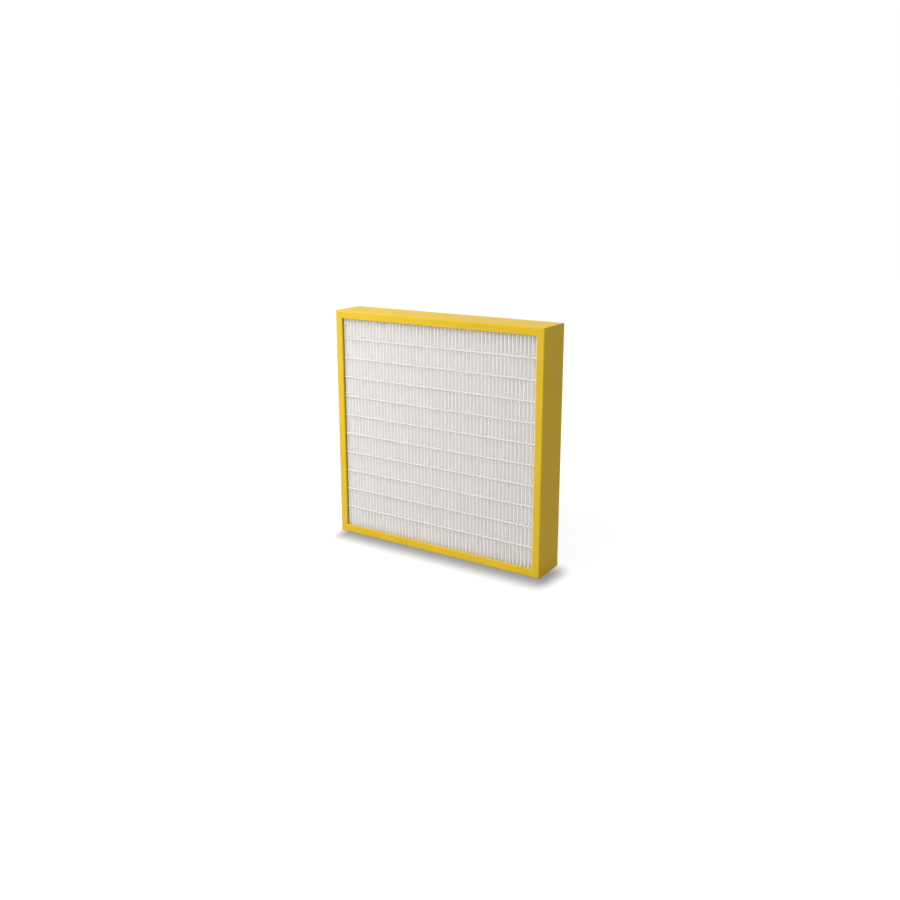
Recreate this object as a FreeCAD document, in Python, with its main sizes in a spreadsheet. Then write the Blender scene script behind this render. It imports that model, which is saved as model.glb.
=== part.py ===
# Pleated air filter: one folded sheet of filter paper held in a frame of four plastic profiles.
# X is the width, Y the depth with the front towards -Y, and Z is up. Sizes are in millimetres.
# The origin lies on the floor under the middle of the filter, which stands on its bottom profile.
import FreeCAD, Part
import os

import Sketcher

# Every driving size: its name, its value and what it measures
SIZES = (
    ("width", 592, "outside width of the frame"),
    ("height", 592, "outside height of the frame"),
    ("depth", 100, "outside depth of the frame, front lip to back lip"),
    ("wall", 2.5, "thickness of the plastic profile"),
    ("lip_width", 20, "how far the lips reach in over the pack, from the outside of the frame"),
    ("hem_reach", 4.5, "how deep the turned edge of a lip goes, from the face of the frame"),
    ("corner_radius", 3, "rounding of the long outer edges of the profile"),
    ("lip_bevel", 1, "bevel of the inner edges of the lips"),
    ("side_sealant", 5, "thickness of the sealant between the pack and an upright profile"),
    ("end_sealant", 6, "thickness of the sealant between the pack and a level profile"),
    ("pleat_count", 57, "number of pleats in the pack"),
    ("paper", 0.7, "thickness of the filter paper"),
    ("fold_gap", 0.8, "width of the space inside a fold"),
    ("fold_length", 1.2, "length of the tapered nose of a fold"),
    ("bead_rows", 10, "number of glue beads on each face of the pack"),
    ("bead_spacing", 50, "distance from one glue bead to the next"),
    ("bead_height", 5, "height of a glue bead"),
    ("bead_proud", 1.5, "how far a glue bead stands proud of the folds"),
    ("bead_bevel", 1.2, "bevel of the two long outer edges of a glue bead"),
)

# Sizes that follow from the driving ones, as expressions of the sheet
CAVITY_WIDTH = "(Sizes.width - 2 * Sizes.wall)"
PACK_WIDTH = f"({CAVITY_WIDTH} - 2 * Sizes.side_sealant)"
PACK_BASE = "(Sizes.wall + Sizes.end_sealant)"
PACK_HEIGHT = f"(Sizes.height - 2 * {PACK_BASE})"
PACK_BACK = "(Sizes.depth / 2 - Sizes.hem_reach - Sizes.bead_proud)"
PACK_FRONT = f"(-{PACK_BACK})"
PITCH = f"({PACK_WIDTH} / Sizes.pleat_count)"
FOLD_INSIDE = "(Sizes.fold_gap / 2)"
FOLD_OUTSIDE = f"({FOLD_INSIDE} + Sizes.paper)"
TOOTH_DEPTH = f"({PITCH} / 2 * Sizes.fold_length / {FOLD_OUTSIDE})"

DOWN_THE_DEPTH = FreeCAD.Vector(0, 1, 0)
SAME_PLACE = 1e-6


def make_sheet(doc):
    """The spreadsheet of driving sizes, one named cell each."""
    sheet = doc.addObject("Spreadsheet::Sheet", "Sizes")
    for row, (name, value, meaning) in enumerate(SIZES, start=1):
        sheet.set(f"A{row}", name)
        sheet.set(f"B{row}", str(value))
        sheet.setAlias(f"B{row}", name)
        sheet.set(f"C{row}", meaning)
    doc.recompute()
    return sheet


def origin_plane(body, role):
    """One of the body's own origin planes."""
    return next(feature for feature in body.Origin.OriginFeatures if feature.Role == role)


def draw_outlines(body, name, role, *outlines):
    """A sketch of closed outlines whose every corner is bound to a pair of expressions."""
    sketch = body.newObject("Sketcher::SketchObject", name)
    sketch.AttachmentSupport = (origin_plane(body, role), [""])
    sketch.MapMode = "FlatFace"
    for corners in outlines:
        first = sketch.GeometryCount
        count = len(corners)
        points = [
            FreeCAD.Vector(sketch.evalExpression(across), sketch.evalExpression(along), 0)
            for across, along in corners
        ]
        for index, point in enumerate(points):
            sketch.addGeometry(Part.LineSegment(point, points[(index + 1) % count]))
        for index in range(count):
            following = first + (index + 1) % count
            sketch.addConstraint(Sketcher.Constraint("Coincident", first + index, 2, following, 1))
        for index, (across, along) in enumerate(corners):
            for direction, expression in (("DistanceX", across), ("DistanceY", along)):
                value = sketch.evalExpression(expression)
                rule = Sketcher.Constraint(direction, -1, 1, first + index, 1, value)
                sketch.setExpression(f"Constraints[{sketch.addConstraint(rule)}]", expression)
    return sketch


def pad_sketch(body, name, sketch, length, symmetric=False):
    """The sketch raised to a length, to one side or half to each side of its plane."""
    pad = body.newObject("PartDesign::Pad", name)
    pad.Profile = sketch
    pad.SideType = "Symmetric" if symmetric else "One side"
    pad.setExpression("Length", length)
    return pad


def repeat_pleatwise(body, name, pad, sketch):
    """The padded pleat repeated along the width of the pack."""
    pattern = body.newObject("PartDesign::LinearPattern", name)
    pattern.Originals = [pad]
    pattern.Direction = (sketch, ["H_Axis"])
    pattern.setExpression("Length", f"{PITCH} * (Sizes.pleat_count - 1)")
    pattern.setExpression("Occurrences", "Sizes.pleat_count")
    body.Tip = pattern
    return pattern


def edges_at(shape, y_place, z_place):
    """Names of the edges that run along X at the given place of the section."""
    names = []
    for number, edge in enumerate(shape.Edges, start=1):
        box = edge.BoundBox
        flat = box.YLength < SAME_PLACE and box.ZLength < SAME_PLACE
        if flat and abs(box.YMin - y_place) < SAME_PLACE and abs(box.ZMin - z_place) < SAME_PLACE:
            names.append(f"Edge{number}")
    return names


def dress_edges(doc, body, kind, name, feature, size, places):
    """A Fillet or Chamfer on the edges along X whose places in the section are expressions."""
    doc.recompute()
    names = []
    for y_place, z_place in places:
        y_value = body.evalExpression(y_place)
        z_value = body.evalExpression(z_place)
        names += edges_at(feature.Shape, y_value, z_value)
    dressed = body.newObject(f"PartDesign::{kind}", name)
    dressed.Base = (feature, names)
    dressed.setExpression("Radius" if kind == "Fillet" else "Size", size)
    return dressed


def place(thing, x_place="0", y_place="0", z_place="0"):
    """Bind the object's position to three expressions."""
    for axis, expression in (("x", x_place), ("y", y_place), ("z", z_place)):
        thing.setExpression(f"Placement.Base.{axis}", expression)


def add_body(doc, label):
    """A new body under its own label."""
    body = doc.addObject("PartDesign::Body", label)
    body.Label = label
    return body


def make_profile(doc, label, length, turn, x_place, z_place):
    """One channel profile, mitred at both ends; its own +Z points into the frame."""
    face = "Sizes.depth / 2"
    inside = f"({face} - Sizes.wall)"
    hem_end = f"({face} - Sizes.hem_reach)"
    hem_side = "(Sizes.lip_width - Sizes.wall)"
    half_section = (
        (face, "0"),
        (face, "Sizes.lip_width"),
        (hem_end, "Sizes.lip_width"),
        (hem_end, hem_side),
        (inside, hem_side),
        (inside, "Sizes.wall"),
    )
    section = half_section + tuple((f"-{y}", z) for y, z in reversed(half_section))
    half_length = f"({length} / 2)"
    mitres = [
        (
            (f"{side}{half_length}", "0"),
            (f"{side}{half_length}", "Sizes.lip_width"),
            (f"{side}({half_length} - Sizes.lip_width)", "Sizes.lip_width"),
        )
        for side in ("", "-")
    ]
    body = add_body(doc, label)
    sketch = draw_outlines(body, f"{label}_section", "YZ_Plane", section)
    bar = pad_sketch(body, f"{label}_bar", sketch, length, symmetric=True)
    rounded = dress_edges(doc, body, "Fillet", f"{label}_rounding", bar, "Sizes.corner_radius",
                          ((face, "0"), (f"-{face}", "0")))
    bevelled = dress_edges(doc, body, "Chamfer", f"{label}_bevel", rounded, "Sizes.lip_bevel",
                           ((face, "Sizes.lip_width"), (f"-{face}", "Sizes.lip_width")))
    cuts = draw_outlines(body, f"{label}_mitres", "XZ_Plane", *mitres)
    pocket = body.newObject("PartDesign::Pocket", f"{label}_mitre_cut")
    pocket.Profile = cuts
    pocket.Type = "ThroughAll"
    pocket.SideType = "Symmetric"
    doc.recompute()
    if pocket.Shape.Volume > bevelled.Shape.Volume - SAME_PLACE:
        raise RuntimeError(f"{label}: the mitre cuts took nothing away")
    body.Placement.Rotation = FreeCAD.Rotation(DOWN_THE_DEPTH, turn)
    place(body, x_place, "0", z_place)
    return body


def make_frame(doc):
    """The four profiles of the frame."""
    return [
        make_profile(doc, "frame_bottom", "Sizes.width", 0, "0", "0"),
        make_profile(doc, "frame_top", "Sizes.width", 180, "0", "Sizes.height"),
        make_profile(doc, "frame_left", "Sizes.height", 90, "-Sizes.width / 2", "Sizes.height / 2"),
        make_profile(doc, "frame_right", "Sizes.height", -90, "Sizes.width / 2", "Sizes.height / 2"),
    ]


def make_sealant(doc, label, length, height, x_place, z_place):
    """One strip of sealant, as deep as the pack that it bonds."""
    strip = doc.addObject("Part::Box", label)
    strip.Label = label
    strip.setExpression("Length", length)
    strip.setExpression("Width", f"{PACK_BACK} - {PACK_FRONT}")
    strip.setExpression("Height", height)
    place(strip, x_place, PACK_FRONT, z_place)
    return strip


def make_sealants(doc):
    """The sealant that bonds the pack to the frame on its four edges."""
    level_start = f"-{CAVITY_WIDTH} / 2"
    upright_size = ("Sizes.side_sealant", PACK_HEIGHT)
    level_size = (CAVITY_WIDTH, "Sizes.end_sealant")
    return [
        make_sealant(doc, "sealant_bottom", *level_size, level_start, "Sizes.wall"),
        make_sealant(doc, "sealant_top", *level_size, level_start, f"{PACK_BASE} + {PACK_HEIGHT}"),
        make_sealant(doc, "sealant_left", *upright_size, level_start, PACK_BASE),
        make_sealant(doc, "sealant_right", *upright_size, f"{PACK_WIDTH} / 2", PACK_BASE),
    ]


def make_pack(doc):
    """The filter paper: one sheet folded to and fro, drawn as one pleat and repeated."""
    front_nose = f"({PACK_FRONT} + Sizes.fold_length)"
    back_nose = f"({PACK_BACK} - Sizes.fold_length)"
    middle = f"({PITCH} / 2)"
    front_side = (
        ("0", back_nose),
        (FOLD_INSIDE, back_nose),
        (f"{middle} - {FOLD_OUTSIDE}", front_nose),
        (middle, PACK_FRONT),
        (f"{middle} + {FOLD_OUTSIDE}", front_nose),
        (f"{PITCH} - {FOLD_INSIDE}", back_nose),
        (PITCH, back_nose),
    )
    back_side = (
        (PITCH, PACK_BACK),
        (f"{PITCH} - {FOLD_OUTSIDE}", back_nose),
        (f"{middle} + {FOLD_INSIDE}", front_nose),
        (f"{middle} - {FOLD_INSIDE}", front_nose),
        (FOLD_OUTSIDE, back_nose),
        ("0", PACK_BACK),
    )
    body = add_body(doc, "media_pack")
    sketch = draw_outlines(body, "media_pleat_outline", "XY_Plane", front_side + back_side)
    pleat = pad_sketch(body, "media_pleat", sketch, PACK_HEIGHT)
    repeat_pleatwise(body, "media_pleats", pleat, sketch)
    place(body, f"-{PACK_WIDTH} / 2", "0", PACK_BASE)
    return body


def make_bead(doc, label, outline, outer_face, height_place):
    """One glue bead: a bar across all the folds, with teeth that dip in between them."""
    body = add_body(doc, label)
    sketch = draw_outlines(body, f"{label}_outline", "XY_Plane", outline)
    tooth = pad_sketch(body, f"{label}_tooth", sketch, "Sizes.bead_height")
    comb = repeat_pleatwise(body, f"{label}_teeth", tooth, sketch)
    dress_edges(doc, body, "Chamfer", f"{label}_bevel", comb, "Sizes.bead_bevel",
                ((outer_face, "0"), (outer_face, "Sizes.bead_height")))
    place(body, f"-{PACK_WIDTH} / 2", "0", height_place)
    return body


def make_beads(doc, sheet):
    """Rows of glue beads on both faces of the pack, centred on its height."""
    middle = f"({PITCH} / 2)"
    front_face = f"({PACK_FRONT} - Sizes.bead_proud)"
    front_tooth = f"({PACK_FRONT} + {TOOTH_DEPTH})"
    front_outline = (
        ("0", front_face),
        (PITCH, front_face),
        (PITCH, front_tooth),
        (middle, PACK_FRONT),
        ("0", front_tooth),
    )
    back_face = f"({PACK_BACK} + Sizes.bead_proud)"
    back_tooth = f"({PACK_BACK} - {TOOTH_DEPTH})"
    back_outline = (
        ("0", PACK_BACK),
        (middle, back_tooth),
        (PITCH, PACK_BACK),
        (PITCH, back_face),
        ("0", back_face),
    )
    beads = []
    for row in range(int(sheet.bead_rows)):
        rise = f"({row} - (Sizes.bead_rows - 1) / 2) * Sizes.bead_spacing"
        height_place = f"Sizes.height / 2 + {rise} - Sizes.bead_height / 2"
        number = f"{row + 1:02d}"
        beads.append(make_bead(doc, f"bead_front_{number}", front_outline, front_face, height_place))
        beads.append(make_bead(doc, f"bead_back_{number}", back_outline, back_face, height_place))
    return beads


def check_document(doc, pieces):
    """Stop if any object failed or any piece has no sound shape."""
    for thing in doc.Objects:
        if "Invalid" in thing.State or "Error" in thing.State:
            raise RuntimeError(f"{thing.Name} failed: {thing.State}")
    for piece in pieces:
        if piece.Shape.isNull() or not piece.Shape.isValid() or not piece.Shape.Solids:
            raise RuntimeError(f"{piece.Label} has no valid solid")


def main():
    doc = FreeCAD.newDocument("pleated_air_filter")
    sheet = make_sheet(doc)
    pieces = make_frame(doc) + make_sealants(doc) + [make_pack(doc)] + make_beads(doc, sheet)
    doc.recompute()
    check_document(doc, pieces)
    os.makedirs("parts", exist_ok=True)
    for piece in pieces:
        piece.Shape.exportStep(os.path.join("parts", f"{piece.Label}.step"))
    return doc, pieces


main()
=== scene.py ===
# Looks of a pleated air filter: folded white paper and glue beads in a yellow plastic frame.
# Lengths are in metres. X is the width, -Y the front, Z up, and the floor is at z = 0.
import math
import random

import bpy
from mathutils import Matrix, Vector


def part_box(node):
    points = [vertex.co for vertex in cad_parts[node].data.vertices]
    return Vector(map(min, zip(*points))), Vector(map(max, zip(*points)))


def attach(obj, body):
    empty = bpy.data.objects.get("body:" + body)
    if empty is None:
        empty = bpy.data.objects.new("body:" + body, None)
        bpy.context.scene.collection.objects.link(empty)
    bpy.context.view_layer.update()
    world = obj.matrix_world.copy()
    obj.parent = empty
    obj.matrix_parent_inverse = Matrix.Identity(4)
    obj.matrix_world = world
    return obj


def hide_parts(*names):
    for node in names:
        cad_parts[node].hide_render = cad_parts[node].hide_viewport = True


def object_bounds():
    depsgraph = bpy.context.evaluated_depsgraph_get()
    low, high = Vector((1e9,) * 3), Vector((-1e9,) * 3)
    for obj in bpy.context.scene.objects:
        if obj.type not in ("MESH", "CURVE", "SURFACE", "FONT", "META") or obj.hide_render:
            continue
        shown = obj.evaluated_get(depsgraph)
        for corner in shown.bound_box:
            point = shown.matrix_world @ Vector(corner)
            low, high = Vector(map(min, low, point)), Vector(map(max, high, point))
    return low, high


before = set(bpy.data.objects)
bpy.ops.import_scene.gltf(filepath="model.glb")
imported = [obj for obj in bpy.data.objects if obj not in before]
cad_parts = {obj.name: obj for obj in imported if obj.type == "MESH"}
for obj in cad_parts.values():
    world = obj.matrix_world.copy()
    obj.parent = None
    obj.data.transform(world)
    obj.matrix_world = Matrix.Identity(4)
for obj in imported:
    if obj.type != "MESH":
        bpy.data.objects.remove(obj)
cad_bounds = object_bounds()

MM = 0.001
SEED = 11

# The whole filter and its pack, as the solids have them
LOW, HIGH = cad_bounds
PACK_LOW, PACK_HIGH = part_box("media_pack")
LEVEL_PROFILES = ("frame_bottom", "frame_top")
UPRIGHT_PROFILES = ("frame_left", "frame_right")
SEALANT_NODES = ("sealant_bottom", "sealant_top", "sealant_left", "sealant_right")
PLEATS = 57
BEAD_ROWS = 10
PITCH = (PACK_HIGH.x - PACK_LOW.x) / PLEATS

# The paper: its thickness, the radius of its folds along the middle of the paper, and how far the
# folds drift aside and stand back between two rows of glue
PAPER = 0.7 * MM
FOLD_RADIUS = 0.75 * MM
FOLD_SEGMENTS = 5
LEVELS_PER_BAY = 6
FOLD_DRIFT = 0.16 * MM
FOLD_SETBACK = 0.2 * MM

# Depths of a glue bead, inward from the outer face of its solid. The outside of the strand is at
# the skin on the nose of a fold and at the dip between two noses. The inside is at the seat on a
# nose, at the tooth in the gap between two noses, and nearer than that by the slope beside a nose.
BEAD_SKIN = 0.3 * MM
BEAD_DIP = 1.6 * MM
BEAD_SEAT = 1.9 * MM
BEAD_TOOTH = 6.2 * MM
BEAD_SLOPE = 1.2 * MM
SEAT_REACH = 1.0 * MM

# The section of a glue bead: half its height on a nose, the share of that between two noses, how
# unevenly it swells, how far it swings up and down, its shape, where 1 is round and less is
# squarer, and the number of its sides
BEAD_HALF = 2.25 * MM
BEAD_WAIST = 0.94
BEAD_SWELL = 0.07
BEAD_WAVE = 0.25 * MM
BEAD_ROUNDNESS = 0.85
BEAD_SIDES = 12

# Where the rings of a glue bead stand beside each nose, and the digits that tell two rings apart
RING_OFFSETS = tuple(offset * MM for offset in (0.0, 0.55, 0.95, 1.15, 1.9, 3.2))
RING_DIGITS = 6

# Colours, each from its darker to its lighter tone
YELLOW = ((0.69, 0.463, 0.018), (0.765, 0.527, 0.032))
SEAM_YELLOW = (0.44, 0.27, 0.008)
PAPER_WHITE = ((0.955, 0.952, 0.944), (0.985, 0.983, 0.977))
GLUE_WHITE = ((0.70, 0.697, 0.685), (0.79, 0.787, 0.775))
SEALANT_CREAM = ((0.66, 0.64, 0.58), (0.76, 0.74, 0.68))

# Where most of a noise lies, and the distances from a joint line at which it starts and ends to show
NOISE_BOUNDS = (0.3, 0.7)
SEAM_BOUNDS = (0.15 * MM, 0.45 * MM)

# The camera, as found from the corners of the frame in the photograph
CAMERA_PLACE = Vector((1.173, -1.804, 0.875))
CAMERA_TURN = math.radians(32.65)
CAMERA_TILT = math.radians(13.16)
CAMERA_LENS = 35.86
CAMERA_SHIFT = -0.05

# The floor: how much light it throws back on the filter, and where it is seen, how bright it is by
# itself and how much more the light that falls on it adds
FLOOR_HALF = 8.0
FLOOR_BOUNCE = 0.4
FLOOR_GLOW = 0.72
FLOOR_LIT = 0.35

# The soft shadow painted on the floor at the foot of the filter, a painted shade laid over the
# shadow that the light casts. It is darkest on two patches, one under the front part of the filter
# and one under the back part. Each inset is how far the left and the right end of a patch lie
# inside the filter. The painted shadow fades out round the patches, and the light is what is left
# in its darkest part.
SHADOW_SPLIT = -0.012
SHADOW_FRONT_INSETS = (0.034, -0.006)
SHADOW_BACK_INSETS = (0.04, 0.06)
SHADOW_FADE = {"X": 0.052, "Y": 0.085}
SHADOW_LIGHT = 0.335

# The bright sides of the room: the azimuth in degrees from the front towards +X, the elevation, how
# narrow the side is and how strong. The rest of the room has one dim tone.
ROOM_SIDES = {
    "front": (-20, 15, 4, 1.56),
    "back": (200, 15, 4, 1.5),
    "ceiling": (0, 80, 2, 0.72),
}
ROOM_TONE = (0.24, 0.205, 0.2)

# The lamp at the upper left, in front
LAMP_PLACE = Vector((-1.13, -0.97, 1.2))
LAMP_AIM = Vector((0.0, 0.0, 0.3))
LAMP_SIZE = 0.8
LAMP_POWER = 14.5

# Light has to reach the bottom of the narrow white pleats, which takes many bounces
LIGHT_BOUNCES = 16


class Nodes:
    """A short way to write one shader node tree."""

    def __init__(self, tree):
        tree.nodes.clear()
        self.tree = tree

    def add(self, kind, operation=None, **values):
        """A node with some sockets set; an underscore in a name stands for a space."""
        node = self.tree.nodes.new(kind)
        if operation:
            node.operation = operation
        for name, value in values.items():
            node.inputs[name.replace("_", " ")].default_value = value
        return node

    def link(self, source, target):
        """A link from an output socket to an input socket."""
        self.tree.links.new(source, target)

    def math(self, operation, *operands):
        """A Math node; each operand is a number or an output socket."""
        node = self.add("ShaderNodeMath", operation)
        for socket, operand in zip(node.inputs, operands):
            if isinstance(operand, (int, float)):
                socket.default_value = operand
            else:
                self.link(operand, socket)
        return node.outputs[0]

    def place(self):
        """The object's own coordinates, which are the filter's own metres."""
        return self.add("ShaderNodeTexCoord").outputs["Object"]

    def axes(self):
        """The object's own coordinates, split into X, Y and Z."""
        split = self.add("ShaderNodeSeparateXYZ")
        self.link(self.place(), split.inputs["Vector"])
        return split.outputs

    def noise(self, scale, detail, stretch=(1, 1, 1)):
        """Noise from 0 to 1 over the object's metres, finer on an axis with a larger stretch."""
        mapping = self.add("ShaderNodeMapping", Scale=stretch)
        self.link(self.place(), mapping.inputs["Vector"])
        noise = self.add("ShaderNodeTexNoise", Scale=scale, Detail=detail)
        self.link(mapping.outputs["Vector"], noise.inputs["Vector"])
        return noise.outputs["Fac"]

    def blend(self, first, second, share):
        """Two values mixed, with this share of the second."""
        kept = self.math("MULTIPLY", first, 1 - share)
        return self.math("ADD", kept, self.math("MULTIPLY", second, share))

    def spread(self, value, low, high, bounds=NOISE_BOUNDS):
        """A value between two bounds spread over low to high."""
        spread = self.add("ShaderNodeMapRange", To_Min=low, To_Max=high)
        for name, bound in zip(("From Min", "From Max"), bounds):
            spread.inputs[name].default_value = bound
        self.link(value, spread.inputs["Value"])
        return spread.outputs["Result"]

    def colours(self, value, dark, light):
        """A noise turned into a colour between dark and light."""
        ramp = self.add("ShaderNodeValToRGB")
        for stop, place, colour in zip(ramp.color_ramp.elements, NOISE_BOUNDS, (dark, light)):
            stop.position = place
            stop.color = (*colour, 1)
        self.link(value, ramp.inputs["Fac"])
        return ramp.outputs["Color"]

    def mix(self, factor, first, colour):
        """A colour from a socket turned into another, plain colour by a factor."""
        mixed = self.add("ShaderNodeMix")
        mixed.data_type = "RGBA"
        self.link(factor, mixed.inputs["Factor"])
        self.link(first, mixed.inputs["A"])
        mixed.inputs["B"].default_value = (*colour, 1)
        return mixed.outputs["Result"]

    def bump(self, height, depth, strength, over=None):
        """A bump of a real depth in metres, laid over another bump."""
        bump = self.add("ShaderNodeBump", Strength=strength, Distance=depth)
        self.link(height, bump.inputs["Height"])
        if over is not None:
            self.link(over, bump.inputs["Normal"])
        return bump.outputs["Normal"]

    def seen(self):
        """1 for rays that show the backdrop itself: straight, mirrored or through glass."""
        path = self.add("ShaderNodeLightPath")
        seen = path.outputs["Is Camera Ray"]
        for name in ("Is Glossy Ray", "Is Transmission Ray"):
            seen = self.math("MAXIMUM", seen, path.outputs[name])
        return seen


def surface(name, **values):
    """A material with one Principled shader; gives the material, its nodes and the shader."""
    material = bpy.data.materials.new(name)
    material.use_nodes = True
    nodes = Nodes(material.node_tree)
    shader = nodes.add("ShaderNodeBsdfPrincipled", **values)
    output = nodes.add("ShaderNodeOutputMaterial")
    nodes.link(shader.outputs["BSDF"], output.inputs["Surface"])
    return material, nodes, shader


def mitre_seam(nodes):
    """1 on the fine joint line where two frame profiles meet at 45 degrees, 0 elsewhere."""
    middle = (LOW.z + HIGH.z) / 2
    axes = nodes.axes()
    across = nodes.math("ABSOLUTE", axes["X"])
    up = nodes.math("ABSOLUTE", nodes.math("SUBTRACT", axes["Z"], middle))
    apart = nodes.math("ABSOLUTE", nodes.math("SUBTRACT", across, up))
    return nodes.spread(apart, low=1.0, high=0.0, bounds=SEAM_BOUNDS)


def frame_plastic(name, stretch):
    """Satin yellow plastic with faint lines along the profile and a fine grain."""
    material, nodes, shader = surface(name, Specular_IOR_Level=0.15)
    lines = nodes.noise(scale=9, detail=2, stretch=stretch)
    clouds = nodes.noise(scale=7, detail=4)
    grain = nodes.noise(scale=1600, detail=2)
    tone = nodes.blend(clouds, lines, share=0.35)
    plain = nodes.colours(tone, *YELLOW)
    nodes.link(nodes.mix(mitre_seam(nodes), plain, SEAM_YELLOW), shader.inputs["Base Color"])
    nodes.link(nodes.spread(tone, low=0.46, high=0.60), shader.inputs["Roughness"])
    drawn = nodes.bump(lines, depth=0.12 * MM, strength=0.5)
    grained = nodes.bump(grain, depth=0.03 * MM, strength=0.6, over=drawn)
    nodes.link(grained, shader.inputs["Normal"])
    return material


def filter_paper():
    """Soft white paper with a matted fibre surface."""
    material, nodes, shader = surface("filter_paper", Roughness=0.9, Specular_IOR_Level=0.2)
    fibres = nodes.noise(scale=700, detail=3, stretch=(1, 1, 0.3))
    clouds = nodes.noise(scale=45, detail=2)
    tone = nodes.blend(clouds, fibres, share=0.4)
    nodes.link(nodes.colours(tone, *PAPER_WHITE), shader.inputs["Base Color"])
    nodes.link(nodes.bump(fibres, depth=0.15 * MM, strength=0.7), shader.inputs["Normal"])
    return material


def glue():
    """Milky hot-melt glue, smooth and slightly uneven."""
    material, nodes, shader = surface("glue_bead", Roughness=0.35, Specular_IOR_Level=0.4)
    lumps = nodes.noise(scale=180, detail=3)
    nodes.link(nodes.colours(lumps, *GLUE_WHITE), shader.inputs["Base Color"])
    nodes.link(nodes.bump(lumps, depth=0.4 * MM, strength=0.5), shader.inputs["Normal"])
    return material


def sealant():
    """Pale cast sealant with small bubbles."""
    material, nodes, shader = surface("sealant", Roughness=0.5, Specular_IOR_Level=0.35)
    bubbles = nodes.noise(scale=350, detail=2)
    nodes.link(nodes.colours(bubbles, *SEALANT_CREAM), shader.inputs["Base Color"])
    nodes.link(nodes.bump(bubbles, depth=0.2 * MM, strength=0.5), shader.inputs["Normal"])
    return material


def dress(names, material):
    """Give some nodes of the solids their material."""
    for name in names:
        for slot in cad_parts[name].material_slots:
            slot.material = material


def add_piece(name, vertices, faces, material, stands_for, normals=None):
    """A smooth mesh that rides on the one body and stands for a node of the solids."""
    mesh = bpy.data.meshes.new(name)
    mesh.from_pydata(vertices, [], faces)
    mesh.polygons.foreach_set("use_smooth", [True] * len(mesh.polygons))
    mesh.materials.append(material)
    if normals:
        mesh.normals_split_custom_set_from_vertices(normals)
    piece = bpy.data.objects.new(name, mesh)
    bpy.context.scene.collection.objects.link(piece)
    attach(piece, "root")
    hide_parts(stands_for)


def bead_node(face, row):
    """The name of a bead's solid, where the lowest row is number 1."""
    return f"bead_{face}_{row + 1:02d}"


def pack_levels(draw):
    """Heights of the paper's levels, each with how far the folds have drifted there.

    The beads pin the folds, so the drift swells and fades again in each bay between two rows.
    """
    pins = [PACK_LOW.z]
    for row in range(BEAD_ROWS):
        low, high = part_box(bead_node("front", row))
        pins.append((low.z + high.z) / 2)
    pins.append(PACK_HIGH.z)
    still = [(0.0, 0.0)] * (2 * PLEATS + 1)
    levels = [(pins[0], still)]
    for bottom, top in zip(pins, pins[1:]):
        drifts = [(draw.gauss(0, FOLD_DRIFT), abs(draw.gauss(0, FOLD_SETBACK))) for _ in still]
        for step in range(1, LEVELS_PER_BAY + 1):
            share = step / LEVELS_PER_BAY
            swell = math.sin(math.pi * share) ** 2
            height = bottom + (top - bottom) * share
            levels.append((height, [(aside * swell, inward * swell) for aside, inward in drifts]))
    return levels


def fold_centres(drifts):
    """Centres of the folds at one level, from left to right: back, front, back and so on."""
    reach = FOLD_RADIUS + PAPER / 2
    centres = []
    for index, (aside, inward) in enumerate(drifts):
        x = PACK_LOW.x + index * PITCH / 2
        if 0 < index < 2 * PLEATS:
            x += aside
        at_back = index % 2 == 0
        y = PACK_HIGH.y - reach - inward if at_back else PACK_LOW.y + reach + inward
        centres.append(Vector((x, y)))
    return centres


def paper_line(centres):
    """Points of the paper's middle line at one level, each with the direction to its back side.

    The line runs round each fold and straight on to the next one, as a tangent of both.
    """
    headings = [0.0]
    for index, (here, after) in enumerate(zip(centres, centres[1:])):
        way = after - here
        lean = math.asin(2 * FOLD_RADIUS / way.length)
        towards_front = index % 2 == 0
        headings.append(math.atan2(way.y, way.x) + (-lean if towards_front else lean))
    headings.append(0.0)
    line = []
    for index, centre in enumerate(centres):
        side = FOLD_RADIUS if index % 2 == 0 else -FOLD_RADIUS
        first, last = headings[index], headings[index + 1]
        for step in range(FOLD_SEGMENTS + 1):
            heading = first + (last - first) * step / FOLD_SEGMENTS
            backward = Vector((-math.sin(heading), math.cos(heading)))
            line.append((centre + backward * side, backward))
    return line


def make_pack(material):
    """The one sheet of paper, folded to and fro, with its thickness."""
    vertices, normals, faces = [], [], []
    levels = pack_levels(random.Random(SEED))
    for height, drifts in levels:
        line = paper_line(fold_centres(drifts))
        for side in (1, -1):
            for point, backward in line:
                spot = point + backward * (side * PAPER / 2)
                vertices.append((*spot, height))
                normals.append((*(backward * side), 0.0))
    count = len(line)

    def corner(level, side, station):
        """Index of a vertex; side 0 is the paper's back side and 1 its front side."""
        return (2 * level + side) * count + station

    # The corners of a face, in the two orders that face opposite ways
    one_way = ((0, 0), (1, 0), (1, 1), (0, 1))
    other_way = ((0, 0), (0, 1), (1, 1), (1, 0))
    last = count - 1
    for level in range(len(levels) - 1):
        for at in range(last):
            faces.append([corner(level + up, 0, at + on) for up, on in one_way])
            faces.append([corner(level + up, 1, at + on) for up, on in other_way])
        faces.append([corner(level + up, side, 0) for up, side in other_way])
        faces.append([corner(level + up, side, last) for up, side in one_way])
    top = len(levels) - 1
    for at in range(last):
        faces.append([corner(0, side, at + on) for side, on in other_way])
        faces.append([corner(top, side, at + on) for side, on in one_way])
    add_piece("pleated_paper", vertices, faces, material, "media_pack", normals)


class Wave:
    """A slow, uneven swing along the width, between about -1 and 1."""

    LENGTHS = (0.21, 0.083, 0.031)
    SHARES = (0.5, 0.3, 0.2)

    def __init__(self, draw):
        self.phases = [draw.uniform(0, 2 * math.pi) for _ in self.LENGTHS]

    def at(self, x):
        """The swing at a place."""
        swing = 0.0
        for length, share, phase in zip(self.LENGTHS, self.SHARES, self.phases):
            swing += share * math.sin(2 * math.pi * x / length + phase)
        return swing


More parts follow.
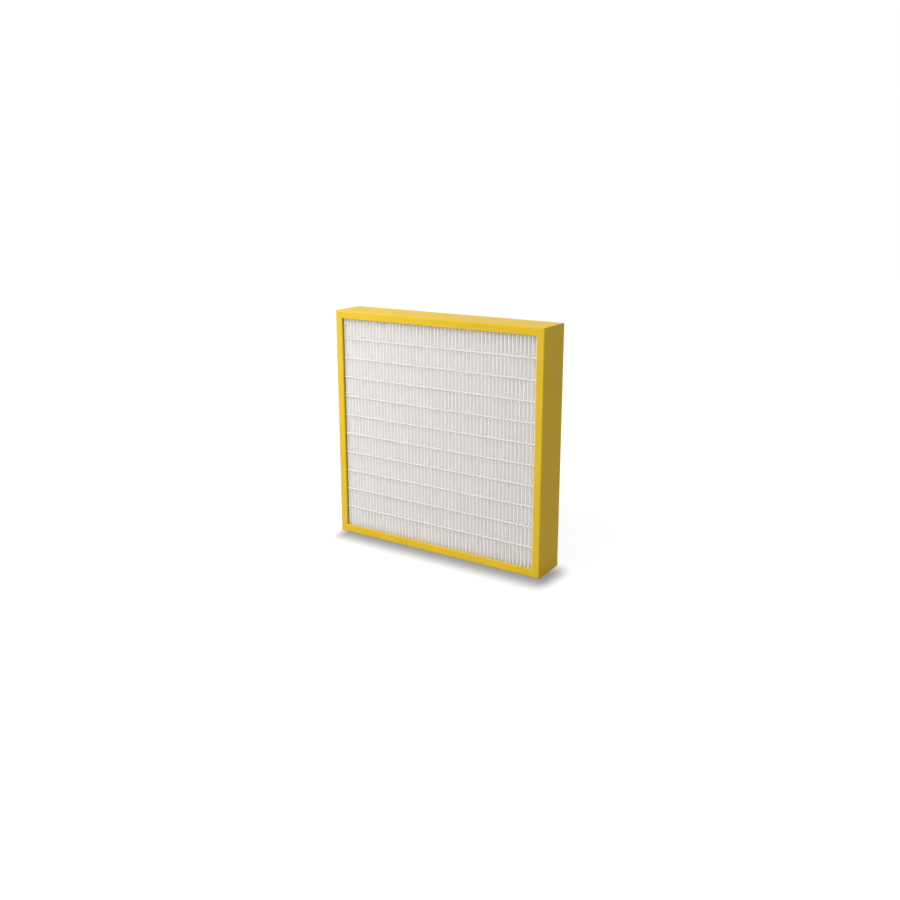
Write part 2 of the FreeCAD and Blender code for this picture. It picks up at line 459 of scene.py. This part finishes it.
def ring_places(noses):
    """Places along the width for the rings of a bead, closer together beside each nose."""
    places = {round(PACK_LOW.x, RING_DIGITS), round(PACK_HIGH.x, RING_DIGITS)}
    for nose in noses:
        for offset in (*RING_OFFSETS, PITCH / 2):
            for x in (nose - offset, nose + offset):
                if PACK_LOW.x <= x <= PACK_HIGH.x:
                    places.add(round(x, RING_DIGITS))
    return sorted(places)


def squarer(wave):
    """A sine or cosine pushed outwards, which makes a circle a little squarer."""
    return math.copysign(abs(wave) ** BEAD_ROUNDNESS, wave)


def make_bead(face, row, material, draw):
    """One strand of glue over the noses of the folds, with a tooth down each gap between them."""
    node = bead_node(face, row)
    low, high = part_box(node)
    at_front = face == "front"
    outer_face = low.y if at_front else high.y
    inward = 1 if at_front else -1
    first = 0.5 if at_front else 0.0
    noses = [PACK_LOW.x + (first + index) * PITCH for index in range(PLEATS + 1)]
    places = ring_places(noses)
    rise, thickness = Wave(draw), Wave(draw)
    vertices, faces = [], []
    for x in places:
        away = min(abs(x - nose) for nose in noses)
        crest = 0.5 + 0.5 * math.cos(2 * math.pi * away / PITCH)
        outer = BEAD_SKIN + (1 - crest) * (BEAD_DIP - BEAD_SKIN)
        inner = BEAD_SEAT if away < SEAT_REACH else BEAD_TOOTH - crest * BEAD_SLOPE
        middle = (low.z + high.z) / 2 + BEAD_WAVE * rise.at(x)
        waist = BEAD_WAIST + (1 - BEAD_WAIST) * crest
        half = BEAD_HALF * (waist + BEAD_SWELL * thickness.at(x))
        for corner in range(BEAD_SIDES):
            angle = 2 * math.pi * corner / BEAD_SIDES
            depth = (outer + inner) / 2 - squarer(math.cos(angle)) * (inner - outer) / 2
            height = middle + squarer(math.sin(angle)) * half
            vertices.append((x, outer_face + inward * depth, height))
    for ring in range(len(places) - 1):
        for corner in range(BEAD_SIDES):
            following = (corner + 1) % BEAD_SIDES
            loop = [(0, corner), (1, corner), (1, following), (0, following)]
            if not at_front:
                loop.reverse()
            faces.append([(ring + on) * BEAD_SIDES + point for on, point in loop])
    start = list(range(BEAD_SIDES))
    end = [(len(places) - 1) * BEAD_SIDES + point for point in reversed(start)]
    faces += [start, end] if at_front else [start[::-1], end[::-1]]
    add_piece(f"glue_{face}_{row + 1:02d}", vertices, faces, material, node)


def shadow_distance(nodes, axes, patch):
    """How far a place on the floor is from a patch, where 1 is the end of the painted shadow."""
    squares = []
    for axis, (low, high) in patch.items():
        below = nodes.math("SUBTRACT", low, axes[axis])
        above = nodes.math("SUBTRACT", axes[axis], high)
        beyond = nodes.math("MAXIMUM", nodes.math("MAXIMUM", below, above), 0.0)
        share = nodes.math("DIVIDE", beyond, SHADOW_FADE[axis])
        squares.append(nodes.math("MULTIPLY", share, share))
    return nodes.math("SQRT", nodes.math("ADD", *squares))


def shadow_tone(nodes):
    """The share of the floor's brightness that the painted soft shadow leaves."""
    axes = nodes.axes()
    distances = []
    for (left, right), depths in (
        (SHADOW_FRONT_INSETS, (LOW.y, SHADOW_SPLIT)),
        (SHADOW_BACK_INSETS, (SHADOW_SPLIT, HIGH.y)),
    ):
        patch = {"X": (LOW.x + left, HIGH.x - right), "Y": depths}
        distances.append(shadow_distance(nodes, axes, patch))
    shade = nodes.add("ShaderNodeMapRange", To_Min=SHADOW_LIGHT)
    shade.interpolation_type = "SMOOTHSTEP"
    nodes.link(nodes.math("MINIMUM", *distances), shade.inputs["Value"])
    return shade.outputs["Result"]


def make_floor():
    """A pale floor with a soft shadow painted close to the object, and some of the cast shadow,
    white elsewhere.
    """
    mesh = bpy.data.meshes.new("floor")
    corners = [(x * FLOOR_HALF, y * FLOOR_HALF, 0) for x, y in ((-1, -1), (1, -1), (1, 1), (-1, 1))]
    mesh.from_pydata(corners, [], [(0, 1, 2, 3)])
    floor = bpy.data.objects.new("floor", mesh)
    bpy.context.scene.collection.objects.link(floor)
    material, nodes, shader = surface("floor", Roughness=0.9, Specular_IOR_Level=0.0)
    seen = nodes.seen()
    # The painted shadow darkens only the floor as it is seen, both its lit part and its glow
    tone = nodes.math("MULTIPLY", seen, shadow_tone(nodes))
    bounce = nodes.math("MULTIPLY", nodes.math("SUBTRACT", 1.0, seen), FLOOR_BOUNCE)
    lit = nodes.math("MULTIPLY", tone, FLOOR_LIT)
    nodes.link(nodes.math("ADD", bounce, lit), shader.inputs["Base Color"])
    shader.inputs["Emission Color"].default_value = (1, 1, 1, 1)
    nodes.link(nodes.math("MULTIPLY", tone, FLOOR_GLOW), shader.inputs["Emission Strength"])
    mesh.materials.append(material)


def room_side(nodes, direction, azimuth, elevation, narrowness, strength):
    """A bright side of the room, which fades away from its middle."""
    around, above = math.radians(azimuth), math.radians(elevation)
    level = math.cos(above)
    middle = (math.sin(around) * level, -math.cos(around) * level, math.sin(above))
    dot = nodes.add("ShaderNodeVectorMath", "DOT_PRODUCT")
    nodes.link(direction, dot.inputs[0])
    dot.inputs[1].default_value = middle
    facing = nodes.math("MAXIMUM", dot.outputs["Value"], 0.0)
    return nodes.math("MULTIPLY", nodes.math("POWER", facing, narrowness), strength)


def make_room():
    """A dim room with a bright front, back and ceiling, which is seen as plain white."""
    world = bpy.data.worlds.new("studio")
    bpy.context.scene.world = world
    world.use_nodes = True
    nodes = Nodes(world.node_tree)
    direction = nodes.add("ShaderNodeTexCoord").outputs["Generated"]
    brightness = 0.0
    for side in ROOM_SIDES.values():
        brightness = nodes.math("ADD", room_side(nodes, direction, *side), brightness)
    room = nodes.add("ShaderNodeVectorMath", "ADD")
    nodes.link(brightness, room.inputs[0])
    room.inputs[1].default_value = ROOM_TONE
    white = nodes.mix(nodes.seen(), room.outputs["Vector"], colour=(1, 1, 1))
    background = nodes.add("ShaderNodeBackground", Strength=1.0)
    nodes.link(white, background.inputs["Color"])
    output = nodes.add("ShaderNodeOutputWorld")
    nodes.link(background.outputs["Background"], output.inputs["Surface"])


def make_lamp():
    """The one lamp, a soft box that the camera doesn't see."""
    lamp = bpy.data.objects.new("lamp", bpy.data.lights.new("lamp", "AREA"))
    bpy.context.scene.collection.objects.link(lamp)
    lamp.data.energy = LAMP_POWER
    lamp.data.size = LAMP_SIZE
    lamp.location = LAMP_PLACE
    lamp.rotation_euler = (LAMP_AIM - LAMP_PLACE).to_track_quat("-Z", "Y").to_euler()
    lamp.visible_camera = False


def make_camera():
    """The camera at the photograph's place and angle."""
    camera = bpy.data.objects.new("camera", bpy.data.cameras.new("camera"))
    bpy.context.scene.collection.objects.link(camera)
    camera.data.lens = CAMERA_LENS
    camera.data.shift_y = CAMERA_SHIFT
    level = math.cos(CAMERA_TILT)
    left = -math.sin(CAMERA_TURN) * level
    back = math.cos(CAMERA_TURN) * level
    ahead = Vector((left, back, -math.sin(CAMERA_TILT)))
    camera.location = CAMERA_PLACE
    camera.rotation_euler = ahead.to_track_quat("-Z", "Y").to_euler()
    bpy.context.scene.camera = camera


def main():
    """Dress the solids, make the paper and the glue, and set up the studio."""
    scene = bpy.context.scene
    scene.view_settings.view_transform = "Standard"
    scene.cycles.max_bounces = LIGHT_BOUNCES
    scene.cycles.diffuse_bounces = LIGHT_BOUNCES
    dress(LEVEL_PROFILES, frame_plastic("plastic_across", stretch=(1, 40, 40)))
    dress(UPRIGHT_PROFILES, frame_plastic("plastic_upright", stretch=(40, 40, 1)))
    dress(SEALANT_NODES, sealant())
    make_pack(filter_paper())
    draw = random.Random(SEED + 1)
    glue_bead = glue()
    for face in ("front", "back"):
        for row in range(BEAD_ROWS):
            make_bead(face, row, glue_bead, draw)
    make_floor()
    make_room()
    make_lamp()
    make_camera()


main()
